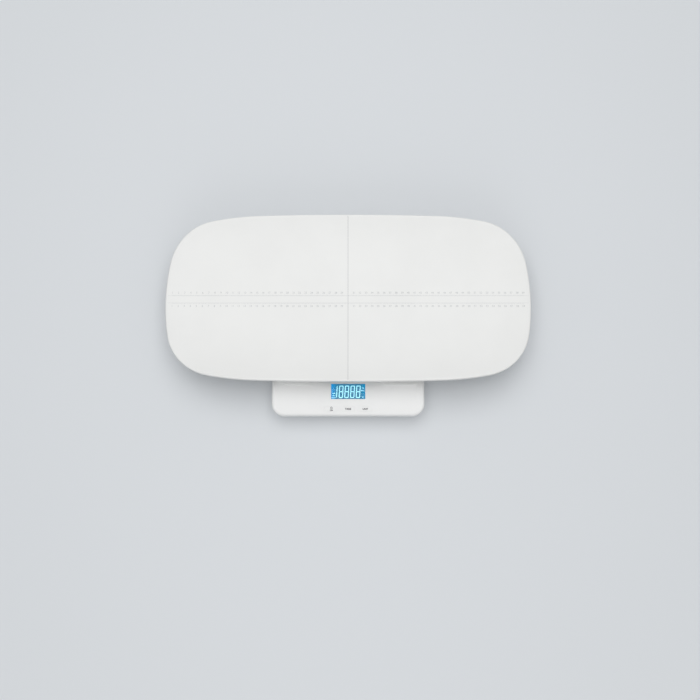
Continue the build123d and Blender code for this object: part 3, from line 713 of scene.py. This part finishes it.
ruler = {
    "pitch": 0.01003,
    "shift": -0.00048,
    "halfGap": 0.0061,
    "numberGap": 0.0114,
    "centreY": 0.0260,
    "lineWidth": 0.00022,
    "tickWidth": 0.00016,
    "ticks": 10,
    "tickLength": 0.0011,
    "longEvery": 5,
    "longTick": 0.0022,
    "digitHeight": 0.0033,
    "last": 29,
    "lineReach": 0.2990,
    "middleX": -0.0003,
    "middleWidth": 0.0005,
    "middleRows": 160,
    "proud": 0.00005,
    "ink": (190, 191, 192),
    "middleInk": (168, 169, 170),
}
keyMarks = {
    "ink": (26, 28, 32),
    "proud": 0.00004,
    "y": -0.1549,
    "powerX": -0.0274,
    "tareX": -0.0002,
    "unitX": 0.0281,
    "wordHeight": 0.0031,
    "unitShare": 0.9,
    "onHeight": 0.0023,
    "onDrop": 0.0020,
    "bold": 0.048,
    "ringRadius": 0.0016,
    "ringStroke": 0.00065,
    "ringLift": 0.0018,
    "ringOpening": 40,
    "ringPlaces": 40,
    "barReach": (0.0019, 0.0040),
}
rulerInk = grainFinish("rulerInk", linear(ruler["ink"]), inked)
middleInk = grainFinish("middleInk", linear(ruler["middleInk"]), inked)
keyInk = grainFinish("keyInk", linear(keyMarks["ink"]), inked)


def glyphShape(text, height, bold=0.0):
    # the flat triangles of a word, centred on its own middle, with capitals of the given height; its
    # outline is pushed out by the share bold of that height
    curve = bpy.data.curves.new("glyphs", "FONT")
    curve.body = text
    curve.offset = bold * height
    curve.size = height / lettering["capitalShare"]
    curve.resolution_u = lettering["curveSteps"]
    carrier = addObject("glyphs", curve)
    bpy.context.view_layer.update()
    mesh = bpy.data.meshes.new_from_object(carrier)
    points = np.zeros(len(mesh.vertices) * 3)
    mesh.vertices.foreach_get("co", points)
    faces = [tuple(face.vertices) for face in mesh.polygons]
    bpy.data.objects.remove(carrier)
    bpy.data.curves.remove(curve)
    bpy.data.meshes.remove(mesh)
    points = points.reshape(-1, 3)
    points[:, :2] -= (points[:, :2].min(0) + points[:, :2].max(0)) / 2
    return points, faces


def printPiece(name, shape, ink, proud, body, slot):
    # a flat print with its thickness, down to a hair inside what carries it
    piece = meshPiece(name, *shape, ink, body, slot, False)
    skin = piece.modifiers.new("inkDepth", "SOLIDIFY")
    skin.thickness = proud + lettering["root"]
    skin.offset = -1.0


def moved(shape, x, y, z=0.0):
    # a shape shifted along the three axes
    return shape[0] + [[x, y, z]], shape[1]


def bandShape(left, right, front, back, columns, rows):
    # a flat rectangle as a grid of evenly spread columns and rows
    x = np.linspace(left, right, columns)
    y = np.linspace(front, back, rows)
    grid = np.stack(np.meshgrid(x, y), axis=-1).reshape(-1, 2)
    return np.column_stack([grid, np.zeros(len(grid))]), gridFaces(rows, columns, False)


def ontoDish(shape, proud):
    # lays a flat shape on the dish: its height becomes the arc's height plus a hair
    points, faces = shape
    points = points.copy()
    points[:, 2] = dishZ(points[:, 1]) + proud
    return points, faces


def printRuler():
    # a line with fine ticks and a row of numbers on each side of the tray's long centre line
    shapes = []
    reach, last, pitch, proud = ruler["lineReach"], ruler["last"], ruler["pitch"], ruler["proud"]
    halfLine = ruler["lineWidth"] / 2
    digits = {n: glyphShape(str(n), ruler["digitHeight"]) for n in range(1, 2 * last + 2)}
    ticks = np.arange(-last * ruler["ticks"], last * ruler["ticks"] + 1)
    tickX = ruler["shift"] + ticks * pitch / ruler["ticks"]
    long = np.arange(len(tickX)) % ruler["longEvery"] == 0
    tickCorners = np.array([[-1, 0], [1, 0], [1, 1], [-1, 1]], float)
    for side in (-1, 1):
        y = ruler["centreY"] + side * ruler["halfGap"]
        shapes.append(bandShape(-reach, reach, y - halfLine, y + halfLine, 3, 2))
        for tickReach, chosen in ((ruler["tickLength"], tickX[~long]), (ruler["longTick"], tickX[long])):
            tick = tickCorners * [ruler["tickWidth"] / 2, side * tickReach]
            flat = chosen[:, None, None] * [1, 0] + tick + [[0, y]]
            points = np.concatenate([flat, np.zeros(flat.shape[:2] + (1,))], axis=-1).reshape(-1, 3)
            order = [0, 1, 2, 3] if side > 0 else [3, 2, 1, 0]
            faces = (np.arange(len(chosen))[:, None] * 4 + order).tolist()
            shapes.append((points, faces))
        numberY = ruler["centreY"] + side * ruler["numberGap"]
        for n in range(-last, last + 1):
            if n:
                shapes.append(moved(digits[n + last + 1], ruler["shift"] + n * pitch, numberY))
    printPiece("rulerPrint", ontoDish(joined(shapes), proud), rulerInk, proud, "tray", "black_parts")
    ends = trayOutline(4)[0]
    back, front = trayY + ends[1][1] - tray["rimRound"], trayY + ends[3][1] + tray["rimRound"]
    left, right = ruler["middleX"] - ruler["middleWidth"] / 2, ruler["middleX"] + ruler["middleWidth"] / 2
    band = bandShape(left, right, front, back, 2, ruler["middleRows"])
    printPiece("centreLine", ontoDish(band, proud), middleInk, proud, "tray", "black_parts")


def ringShape(radius, stroke, start, stop, steps):
    # part of a flat ring between two angles, counted clockwise from the back
    turn = np.radians(np.linspace(start, stop, steps))
    way = np.stack([np.sin(turn), np.cos(turn)], axis=-1)
    rings = np.concatenate([way * (radius + stroke / 2), way * (radius - stroke / 2)])
    faces = [(i, steps + i, steps + i + 1, i + 1) for i in range(steps - 1)]
    return np.column_stack([rings, np.zeros(len(rings))]), faces


def printKeys():
    # a power ring over the word ON, and plain words for the other two keys
    proud, stroke, opening = keyMarks["proud"], keyMarks["ringStroke"], keyMarks["ringOpening"]
    ring = ringShape(keyMarks["ringRadius"], stroke, opening, 360 - opening, keyMarks["ringPlaces"])
    bar = bandShape(-stroke / 2, stroke / 2, *keyMarks["barReach"], 2, 2)
    height, bold = keyMarks["wordHeight"], keyMarks["bold"]
    word = glyphShape("ON", keyMarks["onHeight"], bold)
    power = joined([moved(ring, 0, keyMarks["ringLift"]), bar, moved(word, 0, -keyMarks["onDrop"])])
    tare = glyphShape("TARE", height, bold)
    unit = glyphShape("UNIT", height * keyMarks["unitShare"], bold)
    for key, shape in zip(keys, (power, tare, unit)):
        placed = moved(shape, keyMarks[key + "X"], keyMarks["y"], topZ + proud)
        printPiece(key + "Mark", placed, keyInk, proud, "key_" + key, "black_parts")


def segmentShapes(width, height, stroke, cut, gap):
    # a seven-segment eight whose bars meet in mitres with a hair between, its four outer corners cut off,
    # and its two right-hand bars alone, as a one
    x, y, s, c = width / 2, height / 2, stroke, cut
    top = [(x - c - gap, y), (c + gap - x, y), (c / 2 + gap - x, y - c / 2), (s + gap - x, y - s)]
    top += [(x - s - gap, y - s), (x - c / 2 - gap, y - c / 2)]
    side = [(c / 2 - x, y - c / 2 - gap), (-x, y - c - gap), (-x, gap), (s / 2 - x, gap)]
    side += [(s - x, s / 2 + gap), (s - x, y - s - gap)]
    middle = [(s / 2 + gap - x, 0), (s + gap - x, -s / 2), (x - s - gap, -s / 2)]
    middle += [(x - s / 2 - gap, 0), (x - s - gap, s / 2), (s + gap - x, s / 2)]

    def bar(outline, flipX, flipY):
        # one bar as a face that looks up, also where it is folded over once
        flat = np.array(outline, float) * [flipX, flipY]
        flat = flat[::-1] if flipX * flipY < 0 else flat
        return np.column_stack([flat, np.zeros(len(flat))]), [tuple(range(len(flat)))]

    one = [bar(side, -1, 1), bar(side, -1, -1)]
    left = [bar(side, 1, 1), bar(side, 1, -1)]
    return one + left + [bar(top, 1, 1), bar(top, 1, -1), bar(middle, 1, 1)], one


def lightDisplay():
    # an 18888 leaning to the right, with small words for modes and units either side
    width, stroke, proud = display["digitWidth"], display["stroke"], display["proud"]
    eight, one = segmentShapes(width, display["digitHeight"], stroke, display["chamfer"], display["gap"])
    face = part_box("lcd_glass")[1].z + proud
    shapes = [moved(part, display["oneX"] - (width - stroke) / 2, 0) for part in one]
    for x in display["eightX"]:
        shapes += [moved(part, x, 0) for part in eight]
    points, faces = joined(shapes)
    points[:, 0] += points[:, 1] * display["slant"]
    digits = moved((points, faces), 0, display["middleY"], face)
    printPiece("displayDigits", digits, digitGlow, proud, "base", "blue_display")
    shapes = [moved(glyphShape(word, height, bold), x, y) for word, height, bold, x, y in display["words"]]
    words = moved(joined(shapes), 0, 0, face)
    printPiece("displayWords", words, digitGlow, proud, "base", "blue_display")


printRuler()
printKeys()
lightDisplay()
print("printing and display done")


# feet: turned discs and rubber pads in place of the plain ones

foot = {
    "discRadius": 0.018,
    "padRadius": 0.015,
    "discFoot": 0.002,
    "discTop": 0.0052,
    "stemRadius": 0.006,
    "stemTop": 0.011,
    "edge": 0.0007,
    "edgePlaces": 5,
    "padEdge": 0.0002,
    "middle": 0.0015,
    "grooves": (0.0062, 0.0105),
    "grooveFloor": 0.0005,
    "grooveMouth": 0.0007,
    "grooveDepth": 0.0006,
    "around": 72,
}


def turnedShape(profile, around):
    # a profile of radius and height pairs turned about the upright axis; both ends close on the axis
    turn = np.linspace(0, 2 * pi, around, endpoint=False)
    profile = np.array(profile, float)
    ring = np.stack([np.cos(turn), np.sin(turn)], axis=-1)
    flat = profile[:, None, :1] * ring[None]
    high = np.broadcast_to(profile[:, None, 1:], flat.shape[:2] + (1,))
    points = np.concatenate([flat, high], axis=-1).reshape(-1, 3)
    poles = np.array([[0, 0, profile[0, 1]], [0, 0, profile[-1, 1]]])
    return np.concatenate([points, poles]), skinFaces(len(profile), around, False)


def turnedRing(profile, around):
    # a closed profile turned about the upright axis: the fans are left out, and the last row joins the first
    points, faces = turnedShape(profile, around)
    last = (len(profile) - 1) * around
    faces = faces[:last]
    faces += [(last + i, last + (i + 1) % around, (i + 1) % around, i) for i in range(around)]
    return points[:-2], faces


def softEdge(radius, height, up):
    # the corner of a foot's profile as places on a quarter circle, facing up or down
    turn = np.radians(np.linspace(0, 90, foot["edgePlaces"]))
    edge, sign = foot["edge"], 1 if up else -1
    arc = np.column_stack([radius - edge + edge * np.cos(turn), height - sign * edge * (1 - np.sin(turn))])
    return (arc if up else arc[::-1]).tolist()


def buildFeet():
    # the pad's profile crosses two round grooves and ends in its rim; the disc's ends in the stem that
    # bears on the load cell
    r, depth, top, rim = foot["padRadius"], foot["grooveDepth"], foot["discFoot"], foot["padEdge"]
    floor, mouth = foot["grooveFloor"], foot["grooveMouth"]
    tread = [(foot["middle"], 0.0)]
    for x in foot["grooves"]:
        tread += [(x - mouth, 0.0), (x - floor, depth), (x + floor, depth), (x + mouth, 0.0)]
    pad = turnedShape(tread + softEdge(r, 0.0, False) + [(r, top - rim), (r - rim, top)], foot["around"])
    disc = softEdge(foot["discRadius"], top, False) + softEdge(foot["discRadius"], foot["discTop"], True)
    stem = [(foot["stemRadius"], foot["discTop"]), (foot["stemRadius"], foot["stemTop"])]
    stand = turnedShape(disc + stem, foot["around"])
    for corner in corners:
        low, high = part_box("foot_pad_" + corner)
        centre = ((low.x + high.x) / 2, (low.y + high.y) / 2)
        short = "".join(part.capitalize() for part in corner.split("_"))
        shape = moved(pad, *centre)
        piece = meshPiece("footPad" + short, *shape, finishes["footRubber"], "base", "grey_rubber")
        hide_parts("foot_pad_" + corner)
        shape = moved(stand, *centre)
        piece = meshPiece("foot" + short, *shape, finishes["housingPlastic"], "base", "white_plastic")
        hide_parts("foot_" + corner)


buildFeet()
print("feet turned")


# cells: sleeved cans with a crimped end and a nub, neighbours pointing opposite ways

cell = {
    "radius": 0.00525,
    "length": 0.0437,
    "nubRadius": 0.0019,
    "nub": 0.0008,
    "bandFrom": 0.0325,
    "sleeveEnd": 0.0430,
    "bit": 0.0001,  # the sleeve's thickness, in which the small steps of the profile are counted
    "crimp": [(0.0036, 0.0), (0.0039, 0.0003), (0.0044, 0.0003), (0.0047, 0.0)],
    "around": 64,
}


def buildCells():
    # the can's profile runs from the flat end up the sleeve and over the shoulder to the nub
    r, end, nub, bit = cell["radius"], cell["length"], cell["nubRadius"], cell["bit"]
    sleeveEnd, tip = cell["sleeveEnd"], end + cell["nub"]
    flatEnd = cell["crimp"] + [(r - 2 * bit, bit), (r - bit, 4 * bit)]
    sleeve = [(r, 5 * bit), (r, cell["bandFrom"]), (r, sleeveEnd), (r - 2 * bit, sleeveEnd + 2 * bit)]
    shoulder = [(r - 3 * bit, end - 2 * bit), (r - 8 * bit, end), (nub + 5 * bit, end)]
    cap = [(nub + bit, end + bit), (nub, end + 3 * bit), (nub, tip - 2 * bit), (nub - 3 * bit, tip)]
    points, faces = turnedShape(flatEnd + sleeve + shoulder + cap, cell["around"])
    # the finish of each ring of faces: steel ends, a dark sleeve, a band of colour beside the nub
    finishOfRow = [0] * 5 + [1] * 2 + [2] + [1] + [0] * 8
    finishOfFace = np.concatenate([np.repeat(finishOfRow, cell["around"]), np.zeros(2 * cell["around"], int)])
    for i in range(4):
        low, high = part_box("battery_" + str(i + 1))
        way = 1 if i % 2 else -1
        start = low.y if way > 0 else high.y
        middle = [(low.x + high.x) / 2, start, (low.z + high.z) / 2]
        # the upright cell is laid down along Y by a quarter turn about X
        laid = np.column_stack([points[:, 0], way * points[:, 2], -way * points[:, 1]]) + middle
        piece = meshPiece("cell" + str(i + 1), laid, faces, finishes["zincPlate"], "base", "battery_sleeve")
        piece.data.materials.append(finishes["cellSleeve"])
        piece.data.materials.append(finishes["cellBand"])
        piece.data.polygons.foreach_set("material_index", finishOfFace)
        piece.data.set_sharp_from_angle(angle=creaseAngle)
        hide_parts("battery_" + str(i + 1))


buildCells()


# case screws: pan heads with a cross recess, pointing up in their bores

screw = {
    "radius": 0.0015,
    "head": 0.00285,
    "headHeight": 0.0018,
    "faceRings": (0.0004, 0.0008, 0.0012, 0.0016, 0.0018, 0.0022),
    "crown": 0.0003,
    "headEdge": 0.0004,
    "neck": 0.0002,
    "recess": 0.0011,
    "slot": 0.0004,
    "slotReach": 0.0017,
    "pitch": 0.0009,
    "ridge": 0.00015,
    "threadGap": 0.0004,
    "tip": 0.0012,
    "tipRadius": 0.0003,
    "around": 48,
    "rimRoot": 0.0003,
    "rimInside": 0.0029,
    "rimOutside": 0.0041,
    "rimProud": 0.0003,
}


def buildScrews():
    # a domed head, then a shank whose radius rises and falls along it as a row of thread ridges
    low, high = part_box("case_screws")
    length, r = high.z - low.z, screw["radius"]
    wide, tall, edge = screw["head"], screw["headHeight"], screw["headEdge"]
    head = [(x, screw["crown"] * (x / wide) ** 2) for x in screw["faceRings"]]
    head += [(wide - edge / 2, edge), (wide, 2 * edge), (wide, tall)]
    along = np.arange(tall + screw["threadGap"], length - screw["tip"], screw["pitch"] / 4)
    ridge = r - screw["ridge"] * (1 - np.cos(along / screw["pitch"] * 2 * pi))
    shank = [(r - screw["neck"], tall)] + list(zip(ridge, along)) + [(screw["tipRadius"], length)]
    points, faces = turnedShape(head + shank, screw["around"])
    # the cross is pressed into the head's face
    size = np.abs(points[:, :2])
    inCross = (size.min(axis=1) < screw["slot"]) & (size.max(axis=1) < screw["slotReach"])
    points[inCross & (points[:, 2] < screw["crown"]), 2] += screw["recess"]
    # a raised round rim stands about the mouth of each bore
    inner, outer, proud, root = screw["rimInside"], screw["rimOutside"], screw["rimProud"], screw["rimRoot"]
    profile = [(inner, root), (inner, root / 3 - proud), (inner + root / 3, -proud)]
    profile += [(outer - root * 2 / 3, -proud), (outer, root * 2 / 3 - proud), (outer, root)]
    rim = turnedRing(profile, screw["around"])
    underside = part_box("lower_shell")[0].z
    middleY = (low.y + high.y) / 2
    shapes, rims = [], []
    for corner in corners:
        footLow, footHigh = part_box("foot_" + corner)
        x = low.x + wide if footLow.x < 0 else high.x - wide
        y = low.y + wide if (footLow.y + footHigh.y) / 2 < middleY else high.y - wide
        shapes.append(moved((points, faces), x, y, low.z))
        rims.append(moved(rim, x, y, underside))
    meshPiece("boreRims", *joined(rims), finishes["housingPlastic"], "base", "white_plastic")
    piece = meshPiece("caseScrews", *joined(shapes), finishes["zincPlate"], "base", "plated_steel")
    piece.data.set_sharp_from_angle(angle=creaseAngle)
    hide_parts("case_screws")


buildScrews()


# rubber domes under the keys: thin shells

dome = {
    "slope": 0.364,
    "wall": 0.0007,
    "square": 5.0,
    "flange": 0.0001,
    "crownEdge": 0.0003,
    "around": 64,
    "stop": 0.0008,
}


def buildDomes():
    # each ring is a superellipse drawn in by an inset; the rings run over the crown, down and back up
    # inside
    turn = np.linspace(0, 2 * pi, dome["around"], endpoint=False)
    way = np.stack([np.cos(turn), np.sin(turn)], axis=-1)
    loop = np.sign(way) * np.abs(way) ** (2 / dome["square"])
    wall, flange, edge = dome["wall"], dome["flange"], dome["crownEdge"]
    for name in keys:
        low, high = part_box("key_dome_" + name)
        height = high.z - low.z
        lean = dome["slope"] * height
        outside = [(lean + 4 * edge, height), (lean + edge + flange, height - edge / 10)]
        outside += [(lean, height - edge), (lean / 2, height / 2)]
        outside += [(flange, 4 * flange), (0.0, 2 * flange), (0.0, 0.0)]
        inside = [(wall, 0.0), (lean / 2 + wall, height / 2), (lean + wall, height - wall - edge)]
        inside += [(lean + 2 * wall + flange, height - wall)]
        rings = np.array(outside + inside)
        size = np.array([high.x - low.x, high.y - low.y]) / 2
        middle = [(low.x + high.x) / 2, (low.y + high.y) / 2]
        flat = loop[None] * (size - rings[:, :1])[:, None, :] + middle
        tall = np.broadcast_to(low.z + rings[:, None, 1:], flat.shape[:2] + (1,))
        poles = np.array([[*middle, high.z], [*middle, high.z - wall]])
        points = np.concatenate([np.concatenate([flat, tall], axis=-1).reshape(-1, 3), poles])
        faces = skinFaces(len(rings), dome["around"], True)
        piece = meshPiece(name + "Dome", points, faces, finishes["domeRubber"], "base", "grey_rubber")
        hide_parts("key_dome_" + name)
        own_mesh(piece)


buildDomes()
print("cells, screws and domes made")


# floor, backdrop, lamps and camera

studio = {
    "floorSize": 8.0,
    "floorZ": -0.0001,  # just under the pads, so that no two faces share a plane
    "floorRough": 0.9,
    "floorColor": linear((218, 221, 224)),
    "backdrop": linear((211, 215, 218)),
    "fadeFrom": 0.45,
    "fadeTo": 1.4,
    "skyColor": (0.97, 0.985, 1.0, 1.0),
    "skyStrength": 0.46,
    "lampPower": 30.8,
    "lampSize": 2.4,
    "lampPlace": (-0.04, 0.45, 2.15),
    "fillPower": 7.5,
    "fillSize": 1.6,
    "fillPlace": (0.0, -1.9, 1.0),
    "aim": (0.0, 0.02, 0.04),
}
view = {
    "target": (0.003, -0.0595, 0.049),
    "distance": 1.3,
    "elevation": 79.0,
    "lens": 40.85,
    "sensor": 36.0,
}


def seenRays(tree):
    # 1 for rays that show the backdrop (seen, mirrored or through glass), 0 for rays that gather light
    path = tree.nodes.new("ShaderNodeLightPath")
    found = path.outputs["Is Camera Ray"]
    for kind in ("Is Glossy Ray", "Is Transmission Ray"):
        either = tree.nodes.new("ShaderNodeMath")
        either.operation = "MAXIMUM"
        tree.links.new(found, either.inputs[0])
        tree.links.new(path.outputs[kind], either.inputs[1])
        found = either.outputs["Value"]
    return found


def floorFinish():
    # pale paint that turns into the plain backdrop well away from the scale, so that no horizon shows
    material, shader = makeMaterial("floorPaint")
    shader.inputs["Base Color"].default_value = studio["floorColor"]
    shader.inputs["Roughness"].default_value = studio["floorRough"]
    tree = material.node_tree
    coords = addNode(material, "ShaderNodeTexCoord")
    away = addNode(material, "ShaderNodeVectorMath", operation="LENGTH")
    link(material, coords.outputs["Object"], away.inputs[0])
    start, stop = studio["fadeFrom"], studio["fadeTo"]
    fade = rangeOf(material, away.outputs["Value"], start, stop, interpolation_type="SMOOTHSTEP")
    share = addNode(material, "ShaderNodeMath", operation="MULTIPLY")
    link(material, seenRays(tree), share.inputs[0])
    link(material, fade, share.inputs[1])
    plain = addNode(material, "ShaderNodeEmission")
    plain.inputs["Color"].default_value = studio["backdrop"]
    mix = addNode(material, "ShaderNodeMixShader")
    link(material, share.outputs["Value"], mix.inputs["Fac"])
    link(material, shader.outputs["BSDF"], mix.inputs[1])
    link(material, plain.outputs["Emission"], mix.inputs[2])
    link(material, mix.outputs["Shader"], tree.nodes["Material Output"].inputs["Surface"])
    return material


floorMesh = bpy.data.meshes.new("floor")
half, floorZ = studio["floorSize"] / 2, studio["floorZ"]
floorCorners = [(-half, -half, floorZ), (half, -half, floorZ), (half, half, floorZ), (-half, half, floorZ)]
floorMesh.from_pydata(floorCorners, [], [(0, 1, 2, 3)])
floorMesh.materials.append(floorFinish())
floor = addObject("floor", floorMesh)

# the sky gives soft light from all sides, and rays that show it meet the plain backdrop instead
world = bpy.data.worlds.new("studioSky")
bpy.context.scene.world = world
world.use_nodes = True
skyTree = world.node_tree
sky = skyTree.nodes["Background"]
sky.inputs["Color"].default_value = studio["skyColor"]
sky.inputs["Strength"].default_value = studio["skyStrength"]
backdrop = skyTree.nodes.new("ShaderNodeBackground")
backdrop.inputs["Color"].default_value = studio["backdrop"]
skyMix = skyTree.nodes.new("ShaderNodeMixShader")
skyTree.links.new(seenRays(skyTree), skyMix.inputs["Fac"])
skyTree.links.new(sky.outputs["Background"], skyMix.inputs[1])
skyTree.links.new(backdrop.outputs["Background"], skyMix.inputs[2])
skyTree.links.new(skyMix.outputs["Shader"], skyTree.nodes["World Output"].inputs["Surface"])

# a large lamp above and a weaker one before the scale, both turned to it
for lampName in ("lamp", "fill"):
    lampData = bpy.data.lights.new(lampName, "AREA")
    lampData.energy = studio[lampName + "Power"]
    lampData.size = studio[lampName + "Size"]
    lamp = addObject(lampName, lampData)
    lamp.location = studio[lampName + "Place"]
    lamp.rotation_euler = (Vector(studio["aim"]) - lamp.location).to_track_quat("-Z", "Y").to_euler()

# the camera stands before the scale, high above it, and looks down at the target
cameraData = bpy.data.cameras.new("camera")
cameraData.lens = view["lens"]
cameraData.sensor_width = view["sensor"]
camera = addObject("camera", cameraData)
lift = radians(view["elevation"])
target = Vector(view["target"])
camera.location = target + view["distance"] * Vector((0, -cos(lift), sin(lift)))
camera.rotation_euler = (target - camera.location).to_track_quat("-Z", "Y").to_euler()
bpy.context.scene.camera = camera
bpy.context.scene.view_settings.view_transform = "Standard"
print("studio set")
